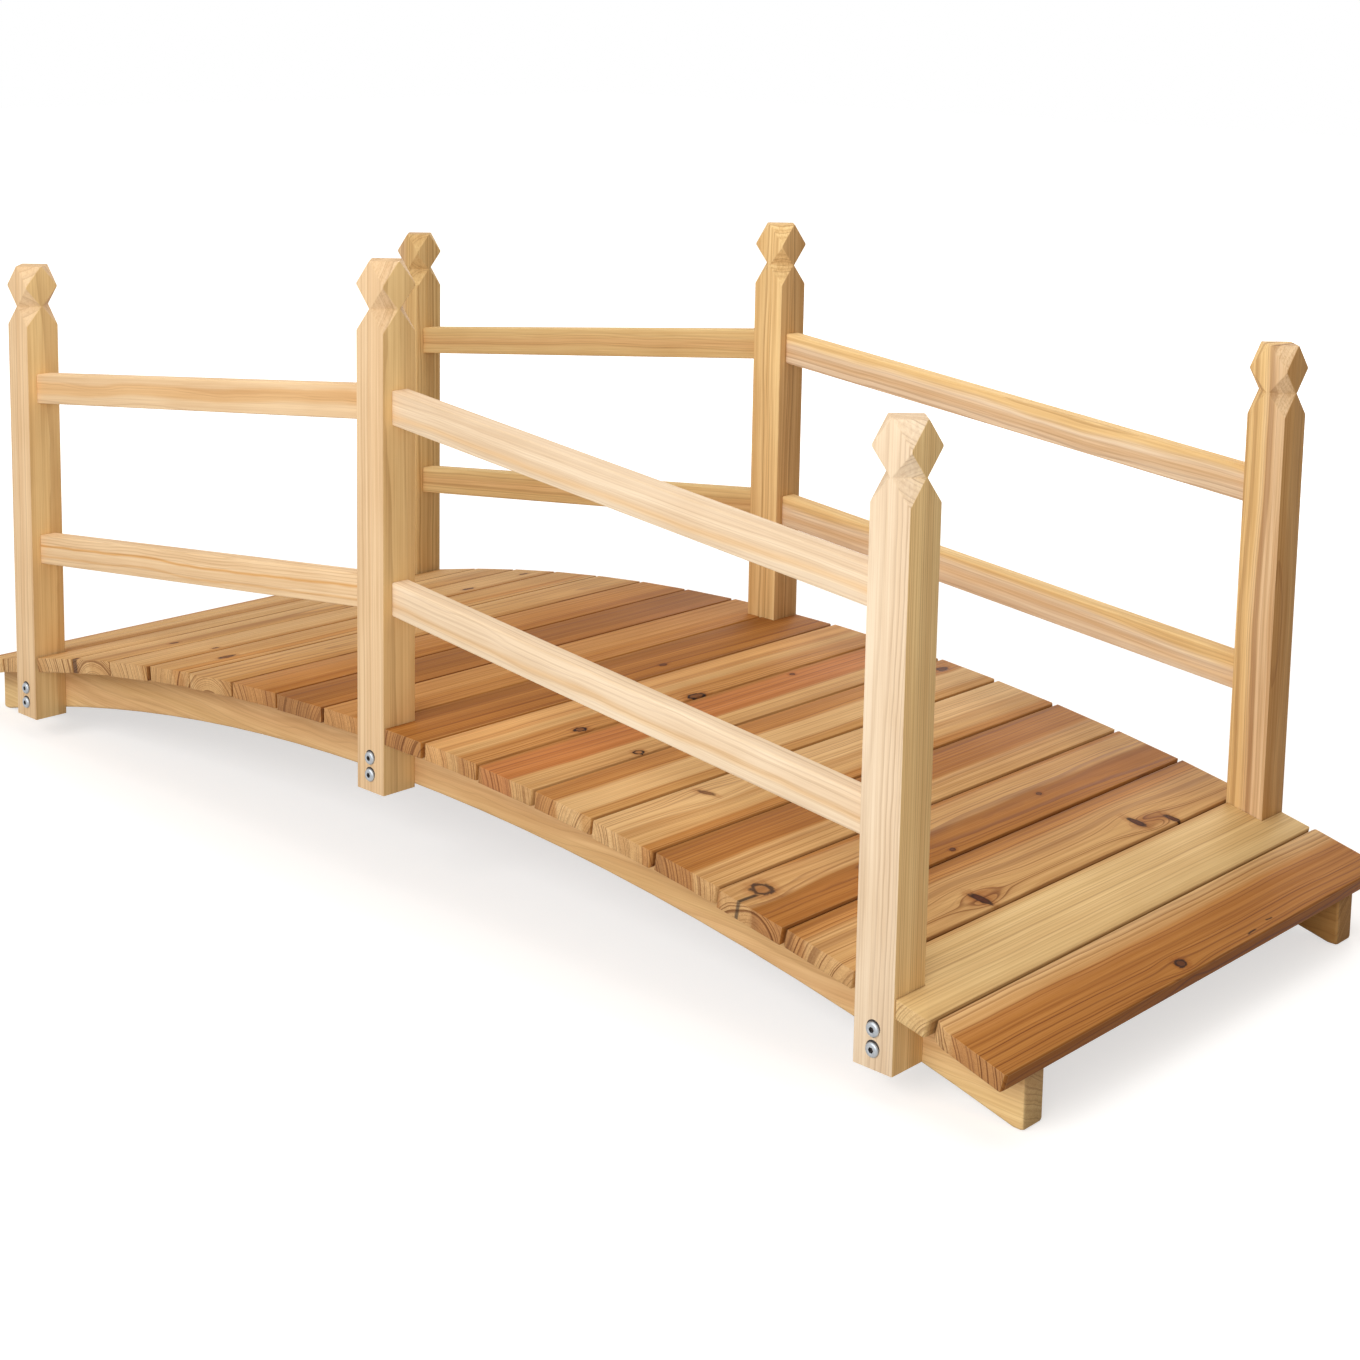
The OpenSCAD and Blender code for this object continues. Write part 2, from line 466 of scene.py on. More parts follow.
class WoodPattern:
    """The rings, fibres, knots and cracks of one piece, drawn in its node tree."""

    def __init__(self, graph: Graph, timber: Timber, lie: Lie) -> None:
        """Draw what the colour and the relief share.

        Args:
            graph: The tree to build in.
            timber: The cut and colours of the piece.
            lie: Its width and place.
        """
        self.graph = graph
        self.timber = timber
        self.lie = lie
        spot = graph.node("ShaderNodeTexCoord")
        self.normal = spot.outputs["Normal"]
        place = {"Vector": spot.outputs["Object"], "Location": lie.place.translation,
                 "Rotation": lie.place.to_euler("XYZ"), "Scale": (MM, MM, MM)}
        settings = {"vector_type": "TEXTURE"}
        self.local = graph.node("ShaderNodeMapping", settings, place).outputs[0]
        parts = graph.node("ShaderNodeSeparateXYZ", None, {0: self.local})
        self.across, self.along, self.out = (graph.level(parts, i) for i in range(3))
        self.knots = [self.knot_marks(knot, i) for i, knot in enumerate(timber.knots)]
        self.radius, self.aside = self.ring_radius()
        self.late = self.late_wood()
        self.fibre = graph.level(self.figure(Figure.FIBRE))
        self.grain = graph.level(self.figure(Figure.GRAIN))
        self.streak = graph.level(self.figure(Figure.STREAK)).rise(0.63, 0.74)
        self.pores = graph.level(self.figure(Figure.PORES))
        self.end = graph.facing(self.normal, lie.along()).math("ABSOLUTE").rise(0.6, 0.9)

    def figure(self, figure: Figure) -> bpy.types.Node:
        """Add one of the noises in the wood."""
        pitch, shift, detail = figure.value
        return self.graph.noise(self.local, pitch, self.timber.seed + shift, detail)

    def knot_marks(self, knot: Knot, shift: int) -> tuple[Signal, Signal]:
        """Distance from a knot, and how strongly the grain bends round it.

        Args:
            knot: The knot.
            shift: Shifts its uneven outline.

        Returns:
            The distance in knot sizes, and the sideways shift of the grain.
        """
        across, along = self.across - knot.across, self.along - knot.along
        cos, sin = math.cos(math.radians(knot.turn)), math.sin(math.radians(knot.turn))
        wide = across * cos + along * sin
        tall = (along * cos - across * sin) / knot.stretch
        pitch = 1.3 / knot.size
        uneven = self.graph.noise(self.local, (pitch, pitch / knot.stretch, pitch),
                                  self.timber.seed + shift, 2.0)
        rough = self.graph.level(uneven) * 0.9 + 0.55
        away = (wide * wide + tall * tall).math("SQRT") / knot.size * rough
        reach = (across * across + along * along / 6.0) / (2.4 * knot.size) ** 2
        return away, (reach * -1.0).math("EXPONENT") * across * 0.7

    def ring_radius(self) -> tuple[Signal, Signal]:
        """Distance from the log's wandering pith, and the place across the grain.

        Returns:
            The distance from the pith and the shifted place across, in millimetres.
        """
        graph, timber = self.graph, self.timber
        wander = self.figure(Figure.SWAY).outputs["Color"]
        sway = graph.node("ShaderNodeSeparateXYZ", None, {0: wander})
        ripple = (graph.level(self.figure(Figure.RIPPLE)) - 0.5) * timber.wave
        aside = self.across + (graph.level(sway, 0) - 0.5) * (9.0 * timber.wave)
        for _, pull in self.knots:
            aside = aside - pull
        across = aside - timber.pith[0] + self.along * (-MM * timber.tilt[0])
        deep = self.out - timber.pith[1] + self.along * (-MM * timber.tilt[1])
        deep = deep + (graph.level(sway, 1) - 0.5) * (6.0 * timber.wave)
        radius = (across * across + deep * deep).math("SQRT") + ripple * 2.4
        return radius, aside + ripple * 3.0 + self.out * 0.25

    def late_wood(self) -> Signal:
        """How much of the dark late wood of a ring shows.

        Returns:
            The share of late wood, 0 to 1.
        """
        timber = self.timber
        uneven = self.graph.noise_over(self.radius * 0.09 + timber.seed * 4.7, 1.0)
        count = self.radius / timber.ring + uneven * 3.0
        phase = count.math("FRACT")
        year = self.graph.node("ShaderNodeTexWhiteNoise", {"noise_dimensions": "1D"},
                               {"W": count.math("FLOOR") + timber.seed})
        strength = self.graph.level(year) * 0.8 + 0.2
        return phase.rise(0.5, 0.9) * phase.fall(0.93, 1.0) * strength

    def face_colour(self) -> bpy.types.NodeSocket:
        """Colour of the planed faces.

        Returns:
            The colour with bands, rings, fibres, knots and cracks.
        """
        graph, timber, stripe = self.graph, self.timber, self.timber.stripe
        share = (self.aside / self.lie.width + 0.5).math("MINIMUM", 1.0).math("MAXIMUM", 0.0)
        colour = graph.node("ShaderNodeValToRGB", {"stops": timber.stops()}, {0: share}).outputs[0]
        # Painted shade: the right-hand side, which lies in shade, takes its own tone
        if timber.side:
            right = graph.facing(self.normal, self.lie.aside()).rise(0.64, 0.9)
            colour = graph.mix(right, colour, timber.side.rgba())
        patch = graph.level(self.figure(Figure.PATCH)).rise(0.3, 0.7)
        years = graph.noise_over(self.radius * 0.1 + timber.seed * 2.3, 2.0).rise(0.35, 0.68)
        colour = graph.stain(patch * 0.5, colour, Tint.PATCH)
        colour = graph.stain(years * stripe, colour, Tint.YEARS)
        colour = graph.stain(self.late * timber.contrast, colour, Tint.LATE)
        colour = graph.stain(self.grain.rise(0.44, 0.62) * stripe * 0.7, colour, Tint.GRAIN)
        colour = graph.stain(self.fibre.rise(0.42, 0.62) * stripe * 0.9, colour, Tint.FIBRE)
        colour = graph.stain(self.streak * stripe * 0.8, colour, Tint.STREAK)
        for knot, (away, _) in zip(timber.knots, self.knots):
            colour = self.paint_knot(knot, away, colour)
        # Cracks are darkened with painted shadow
        for split in timber.splits:
            colour = graph.mix(self.split_mark(split), colour, Tone.BARK_AND_CRACK_SHADE.rgba())
        return colour

    def paint_knot(self, knot: Knot, away: Signal,
                   colour: bpy.types.NodeSocket) -> bpy.types.NodeSocket:
        """Lay a knot over the wood.

        Args:
            knot: The knot.
            away: Distance from it, in knot sizes.
            colour: The wood's colour.

        Returns:
            The colour with the knot.
        """
        graph = self.graph
        ring = (away * (knot.size / 1.4) + self.timber.seed).math("FRACT").rise(0.3, 0.95)
        heart = graph.stain(ring * 0.6, Tone.KNOT.rgba(), Tint.KNOT_RING)
        colour = graph.stain(away.fall(0.8, 2.6) * 0.75, colour, Tint.KNOT_HALO)
        colour = graph.mix(away.fall(0.82, 1.05) * knot.dark, colour, heart)
        edge = away.rise(0.6, 0.88) * away.fall(1.04, 1.34)
        return graph.mix(edge * knot.rim, colour, Tone.BARK_AND_CRACK_SHADE.rgba())

    def split_mark(self, split: Split) -> Signal:
        """How dark a crack is at a place.

        Args:
            split: The crack.

        Returns:
            The share of the crack's shadow, 0 to 1.
        """
        wander = self.graph.level(self.figure(Figure.CRACK)) - 0.5
        aside = (self.across - split.across + wander * 7.0).math("ABSOLUTE")
        middle, half = (split.start + split.end) / 2, abs(split.end - split.start) / 2
        inside = (self.along - middle).math("ABSOLUTE").fall(half * 0.6, half)
        return aside.fall(split.wide * 0.3, split.wide) * inside * 0.9

    def end_colour(self, face: bpy.types.NodeSocket) -> bpy.types.NodeSocket:
        """Colour of the sawn ends.

        Args:
            face: The colour of the planed faces.

        Returns:
            The colour with open pores, stronger rings and the painted shade of the ends.
        """
        graph, timber = self.graph, self.timber
        bare = graph.mix(0.16, face, Tone.PEACH.rgba())
        bare = graph.stain(self.pores.rise(0.42, 0.72) * 0.55, bare, Tint.PORES)
        bare = graph.stain(self.late * (0.35 + 0.7 * timber.contrast), bare, Tint.END_LATE)
        # Painted shade over the sawn ends, set for the beams whose ends lie in shade under the deck
        return graph.stain(timber.painted_end_shade, bare, Tint.PAINTED_END_SHADE)

    def seam_shade(self) -> Signal:
        """How dark the long edges are, where the next board shades them.

        Returns:
            The share of the shade, 0 to 1.
        """
        half = self.lie.width / 2
        side = self.across.math("ABSOLUTE").rise(half - 2.4, half - 0.6)
        return side * (1 - self.end) * self.timber.seam

    def height(self) -> Signal:
        """Height of the surface, in shares of its relief."""
        raised = self.late * 0.45 + self.fibre * 0.5 + self.grain * 0.3
        return raised - self.streak * 0.4 + self.pores * self.end * 0.9


@dataclass(frozen=True)
class PlanedWood:
    """Raw planed softwood with rings, fibres, knots, open end grain and rubbed edges."""

    roughness: float = 0.62
    gloss: float = 0.14
    bump: float = 0.35
    relief: float = 0.6 * MM
    end_share: float = 0.85
    rub: float = 0.12

    def material(self, name: str, timber: Timber, lie: Lie) -> bpy.types.Material:
        """Build the material of one piece.

        Args:
            name: The material's name.
            timber: The cut and colours of the piece.
            lie: Its width and place.

        Returns:
            The material.
        """
        graph = Graph(bpy.data.materials.new(name))
        wood = WoodPattern(graph, timber, lie)
        face = wood.face_colour()
        colour = graph.mix(wood.end * self.end_share, face, wood.end_colour(face))
        if timber.seam:
            # Painted shade along the boards' long edges, beside the gaps between them
            colour = graph.stain(wood.seam_shade(), colour, Tint.PAINTED_SEAM_SHADE)
        rubbed = graph.level(graph.node("ShaderNodeAttribute", {"attribute_name": RUBBED}), "Fac")
        worn = rubbed * wood.fibre.rise(0.3, 0.6) * self.rub
        colour = graph.mix(worn, colour, Tone.STRAW.rgba())
        relief = {"Strength": self.bump, "Distance": self.relief, "Height": wood.height()}
        bump = graph.node("ShaderNodeBump", None, relief)
        rough = self.roughness + wood.fibre * 0.14 - wood.late * 0.10 + wood.end * 0.12
        shader = graph.node("ShaderNodeBsdfPrincipled", None, {
            "Base Color": colour, "Roughness": rough, "Specular IOR Level": self.gloss,
            "Normal": bump.outputs[0],
        })
        return graph.close(shader)


@dataclass(frozen=True)
class ZincSteel:
    """Zinc plating with a faint cloudy grain."""

    colour: str = "aeb3b8"
    roughness: float = 0.34
    metallic: float = 1.0
    bump: float = 0.15
    relief: float = 0.1 * MM
    cloud_pitch: Point = (420.0, 420.0, 420.0)
    fine_pitch: Point = (1900.0, 1900.0, 1900.0)

    def material(self, name: str) -> bpy.types.Material:
        """Build the material.

        Args:
            name: The material's name.

        Returns:
            The material.
        """
        graph = Graph(bpy.data.materials.new(name))
        spot = graph.node("ShaderNodeTexCoord").outputs["Object"]
        cloud = graph.level(graph.noise(spot, self.cloud_pitch, 2.0, 3.0))
        fine = graph.level(graph.noise(spot, self.fine_pitch, 5.0, 2.0))
        plating = linear(self.colour)
        colour = graph.stain(cloud.rise(0.35, 0.7) * 0.5, plating, Tint.ZINC_CLOUD)
        relief = {"Strength": self.bump, "Distance": self.relief, "Height": fine}
        bump = graph.node("ShaderNodeBump", None, relief)
        shader = graph.node("ShaderNodeBsdfPrincipled", None, {
            "Base Color": colour, "Metallic": self.metallic,
            "Roughness": self.roughness + cloud * 0.2, "Normal": bump.outputs[0],
        })
        return graph.close(shader)


@dataclass(frozen=True)
class Wear:
    """How a board's ends differ from a true saw cut, in millimetres.

    Near and far are what the two ends lose, and skew is what they lose more at the right.
    Broken is the loss at the near left corner. The worn corners have what they lose across
    and along the board, the near ones first and the left before the right.
    """

    near: float = 0.0
    far: float = 0.0
    skew: float = 0.0
    broken: float = 0.0
    broken_width: float = 15.0
    corners: tuple[tuple[float, float], ...] = ()


@dataclass
class Joinery:
    """Turns a solid of the frame into a finished piece of timber."""

    wood: PlanedWood = field(default_factory=PlanedWood)
    # Points nearer than these are one, in a solid, in a cut and beside a worn corner
    solid_weld: float = 0.005 * MM
    cut_weld: float = 0.001 * MM
    corner_weld: float = 0.2 * MM
    # Edges shorter than this are dropped after easing
    shortest: float = 0.02 * MM
    # Angles up to which faces are one flat, and from which an edge is eased or kept sharp
    flat_angle: float = 0.001
    ease_angle: float = 0.3
    sharp_angle: float = math.radians(38)
    # Bands along a board's ends and long edges in which points belong to them
    end_band: float = 1.0 * MM
    edge_band: float = 1.2 * MM
    # A corner that lies this far back was taken by a notch
    notch_least: float = 20.0 * MM
    # Share of the break that is left where a broken corner ends
    break_foot: float = 0.35
    break_band: float = 0.1 * MM

    def lean(self, node: str) -> float:
        """Angle about Y of the largest upward face of a solid.

        Args:
            node: The solid's name.

        Returns:
            The angle in radians, positive where the face looks towards +X.
        """
        areas: dict[float, float] = {}
        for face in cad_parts[node].data.polygons:
            if face.normal.z > 0.5 and abs(face.normal.y) < 0.01:
                angle = round(math.atan2(face.normal.x, face.normal.z), 3)
                areas[angle] = areas.get(angle, 0.0) + face.area
        return max(areas, key=areas.get)

    def cut(self, shape: bmesh.types.BMesh, place: Vector, out: Vector, clear: bool) -> None:
        """Cut a shape along a plane.

        Args:
            shape: The shape.
            place: A point of the plane.
            out: Its direction.
            clear: Whether what lies beyond the plane is taken off.
        """
        bmesh.ops.bisect_plane(shape, geom=[*shape.verts, *shape.edges, *shape.faces],
                               dist=self.cut_weld, plane_co=place, plane_no=out,
                               clear_outer=clear)

    def wear_ends(self, shape: bmesh.types.BMesh, lie: Lie, wear: Wear) -> None:
        """Set a board's ends a little back, askew, and break its near left corner.

        Args:
            shape: The board.
            lie: Its width and place.
            wear: How much each end loses.
        """
        back = lie.place.inverted()
        seam = (wear.broken_width - lie.width / 2) * MM
        if wear.broken:
            self.cut(shape, lie.place @ Vector((seam, 0.0, 0.0)), lie.aside(), clear=False)
        reach = max(abs(v.co.y) for v in shape.verts) - self.end_band
        for vert in shape.verts:
            across = (back @ vert.co).x
            slant = wear.skew * (across / (lie.width * MM) + 0.5) * MM
            if vert.co.y < -reach:
                inside = across < seam - self.break_band
                chip = wear.broken * MM * (1.0 if inside else self.break_foot)
                loss = chip if across < seam + self.break_band else 0.0
                vert.co.y += wear.near * MM + slant + loss
            elif vert.co.y > reach:
                vert.co.y -= wear.far * MM + slant

    def wear_corners(self, shape: bmesh.types.BMesh, lie: Lie, wear: Wear) -> None:
        """Cut the worn corners off a board's ends, where no notch has taken them.

        Args:
            shape: The board.
            lie: Its width and place.
            wear: What each corner loses.
        """
        back, turn = lie.place.inverted(), lie.place.to_3x3()
        half = lie.width / 2 * MM
        places = [(side, end) for end in (-1, 1) for side in (-1, 1)]
        for (side, end), (wide, long) in zip(places, wear.corners):
            local = [back @ vert.co for vert in shape.verts]
            tips = [spot.y for spot in local
                    if spot.x * side > half - self.edge_band and spot.y * end > half]
            tip = max(tips, key=lambda y: y * end)
            if abs(tip) < max(abs(spot.y) for spot in local) - self.notch_least:
                continue
            place = lie.place @ Vector((side * (half - wide * MM), tip, 0.0))
            out = (turn @ Vector((side * long, end * wide, 0.0))).normalized()
            self.cut(shape, place, out, clear=True)
            bmesh.ops.holes_fill(shape, edges=[e for e in shape.edges if e.is_boundary], sides=0)
            bmesh.ops.remove_doubles(shape, verts=shape.verts, dist=self.corner_weld)

    def ease_edges(self, shape: bmesh.types.BMesh, ease: float) -> None:
        """Round the edges of a timber and mark them as rubbed.

        Args:
            shape: The timber.
            ease: Radius of the eased edges, in metres.
        """
        rubbed = shape.faces.layers.float[RUBBED]
        edges = [e for e in shape.edges
                 if e.is_manifold and e.calc_face_angle(0.0) > self.ease_angle]
        eased = bmesh.ops.bevel(shape, geom=edges, offset=ease, offset_type="OFFSET",
                                affect="EDGES", segments=2, profile=0.5, material=-1,
                                clamp_overlap=True)
        for face in eased["faces"]:
            face[rubbed] = 1.0
        bmesh.ops.dissolve_degenerate(shape, edges=shape.edges, dist=self.shortest)

    def finish(self, node: str, slot: Slot, timber: Timber, lie: Lie, ease: float,
               wear: Wear | None = None) -> None:
        """Copy a solid, ease its edges and dress it.

        Args:
            node: The solid that the piece stands for.
            slot: The record's material slot.
            timber: The cut and colours of the piece.
            lie: Its width and place.
            ease: Radius of the eased edges, in metres.
            wear: What the ends have lost, for boards.
        """
        mesh = bpy.data.meshes.new(f"{node}_wood")
        shape = bmesh.new()
        shape.from_mesh(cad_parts[node].data)
        shape.faces.layers.float.new(RUBBED)
        bmesh.ops.remove_doubles(shape, verts=shape.verts, dist=self.solid_weld)
        bmesh.ops.dissolve_limit(shape, angle_limit=self.flat_angle, verts=shape.verts,
                                 edges=shape.edges)
        if wear:
            self.wear_ends(shape, lie, wear)
            self.wear_corners(shape, lie, wear)
        self.ease_edges(shape, ease)
        bmesh.ops.recalc_face_normals(shape, faces=shape.faces)
        shape.to_mesh(mesh)
        shape.free()
        mesh.shade_smooth()
        mesh.set_sharp_from_angle(angle=self.sharp_angle)
        mesh.materials.append(self.wood.material(f"{node}_grain", timber, lie))
        place_piece(f"{node}_timber", mesh, slot, node)


def place_piece(name: str, mesh: bpy.types.Mesh, slot: Slot, *stands_for: str) -> None:
    """Put a finished mesh into the scene, on the bridge.

    Args:
        name: The piece's name.
        mesh: Its mesh, in place.
        slot: The record's material slot; not used.
        stands_for: Solids that the piece stands for.
    """
    piece = bpy.data.objects.new(name, mesh)
    bpy.context.scene.collection.objects.link(piece)
    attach(piece, BODY)
    if stands_for:
        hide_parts(*stands_for)
    LOG.info("%s: %d faces", name, len(mesh.polygons))


def lie_of(node: str, turn: Matrix, width: float) -> Lie:
    """How a solid lies, from the middle of its box.

    Args:
        node: The solid's name.
        turn: Turns local axes into the bridge's.
        width: Size across the show face, in millimetres.

    Returns:
        The lie.
    """
    low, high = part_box(node)
    return Lie(Matrix.Translation((low + high) / 2) @ turn.to_4x4(), width)


@dataclass
class Stringers:
    """The two arched beams under the deck."""

    joinery: Joinery
    # Height of the whole arch, over which the colours are spread
    height: float = 160.0
    ease: float = 3.2 * MM

    def cuts(self) -> dict[str, Timber]:
        """Cut and colours of each beam, whose left edge is its upper one.

        Returns:
            The timber of each side.
        """
        bands = ((0.35, Tone.APRICOT), (0.5, Tone.SAND), (0.75, Tone.APRICOT), (1.0, Tone.GOLD))
        # The far beam's darker bands are painted shade for its inner face, which lies in shade
        shaded = ((0.5, Tone.TAN), (1.0, Tone.HONEY))
        # Its painted_end_shade greys the sawn ends, which lie in shade under the deck: painted
        # shade
        near = Timber(bands, pith=(-95, -60), tilt=(7, -6), ring=9.0, contrast=0.24, wave=3.6,
                      edge=0.12, stripe=0.34, seed=31.0, painted_end_shade=0.75)
        return {"near": near, "far": replace(near, bands=shaded, pith=(105, -60), seed=32.0)}

    def build(self) -> None:
        """Make both beams, their grain along the bridge."""
        for side, timber in self.cuts().items():
            node = f"stringer_{side}"
            lie = lie_of(node, ALONG_BRIDGE, self.height)
            self.joinery.finish(node, Slot.FRAME, timber, lie, self.ease)


@dataclass
class Posts:
    """The six square posts with notched finials."""

    joinery: Joinery
    side: float = 44.0
    ease: float = 0.55 * MM

    def cuts(self) -> dict[str, Timber]:
        """Cut and colours of each post.

        Returns:
            The timber of each side and station.
        """
        cream, peach, gold = Tone.CREAM, Tone.PEACH, Tone.GOLD
        # The side tones are painted shade for the posts' right-hand faces, which lie in shade
        near = Timber(((1.0, peach),), wave=1.0, edge=0.05, stripe=0.3, side=gold)
        far = Timber(((1.0, gold),), contrast=0.55, edge=0.12)
        return {
            "near_left": replace(near, pith=(-52, -20), tilt=(6, 3), ring=5.6, contrast=0.32,
                                 seed=3.0),
            "near_middle": replace(near, pith=(-60, 34), tilt=(-5, 4), ring=5.4, contrast=0.34,
                                   stripe=0.34, seed=5.7),
            "near_right": replace(near, bands=((1.0, cream),), pith=(-30, -70), tilt=(5, 6),
                                  ring=2.4, contrast=0.42, seed=8.4),
            "far_left": replace(far, bands=((0.5, peach), (1.0, Tone.STRAW)), pith=(48, 30),
                                tilt=(8, -6), ring=5.6, edge=0.15, seed=11.1,
                                knots=(Knot(-5, 12, 3.0, 1.5, 0.9, 0.7),)),
            "far_middle": replace(far, pith=(-40, -44), tilt=(-9, 8), ring=5.8, seed=13.8,
                                  side=Tone.SAND),
            "far_right": replace(far, bands=((0.6, gold), (1.0, peach)), pith=(70, 18),
                                 tilt=(-4, -8), ring=6.2, contrast=0.5, wave=1.6, seed=16.5,
                                 side=Tone.TAN),
        }

    def build(self) -> None:
        """Make all posts, their grain upright."""
        for place, timber in self.cuts().items():
            node = f"post_{place}"
            lie = lie_of(node, UPRIGHT, self.side)
            self.joinery.finish(node, Slot.FRAME, timber, lie, self.ease)


@dataclass
class Rails:
    """The sloping rails between the posts."""

    joinery: Joinery
    height: float = 37.0
    ease: float = 1.6 * MM

    def cuts(self) -> dict[str, Timber]:
        """Cut and colours of each rail, whose left edge is its upper one.

        Returns:
            The timber of each side, bay and level.
        """
        cream, peach, apricot = Tone.CREAM, Tone.PEACH, Tone.APRICOT
        pale = ((0.62, cream), (0.8, peach), (1.0, cream))
        warm = ((0.3, peach), (0.7, apricot), (1.0, peach))
        veined = ((0.42, peach), (0.5, Tone.AMBER), (0.8, peach), (0.86, apricot), (1.0, peach))
        deep = ((0.4, Tone.STRAW), (0.7, Tone.SAND), (1.0, Tone.STRAW))
        light = ((0.35, Tone.GOLD), (0.55, cream), (0.8, peach), (1.0, cream))
        near = Timber(pale, contrast=0.26, wave=2.2, edge=0.06, stripe=0.28)
        far_left = Timber(deep, contrast=0.34, edge=0.1, stripe=0.4)
        far_right = Timber(light, ring=7.0, contrast=0.46, edge=0.1, stripe=0.4)
        return {
            "near_left_upper": replace(near, bands=warm, pith=(-44, -30), tilt=(6, 5), ring=5.5,
                                       contrast=0.24, wave=2.0, seed=51.0),
            "near_left_lower": replace(near, bands=veined, pith=(50, -26), tilt=(-7, 4), ring=5.0,
                                       contrast=0.24, edge=0.03, seed=52.9),
            "near_right_upper": replace(near, pith=(-48, 34), tilt=(8, 6), ring=6.0, seed=54.8),
            "near_right_lower": replace(near, pith=(-42, -34), tilt=(-9, 7), ring=5.6, wave=2.6,
                                        seed=56.7),
            "far_left_upper": replace(far_left, pith=(46, 26), tilt=(6, -5), ring=5.6, wave=2.0,
                                      seed=58.6),
            "far_left_lower": replace(far_left, pith=(-60, 20), tilt=(5, 5), ring=5.4, wave=1.6,
                                      seed=60.5),
            "far_right_upper": replace(far_right, pith=(-52, 28), tilt=(7, 4), wave=2.4,
                                       seed=62.4),
            "far_right_lower": replace(far_right, pith=(48, -32), tilt=(-6, 6), wave=2.6,
                                       seed=64.3),
        }

    def build(self) -> None:
        """Make the eight rails, their grain along the slope."""
        for place, timber in self.cuts().items():
            node = f"rail_{place}"
            turn = Euler((0.0, self.joinery.lean(node), 0.0)).to_matrix() @ ALONG_BRIDGE
            lie = lie_of(node, turn, self.height)
            self.joinery.finish(node, Slot.FRAME, timber, lie, self.ease)


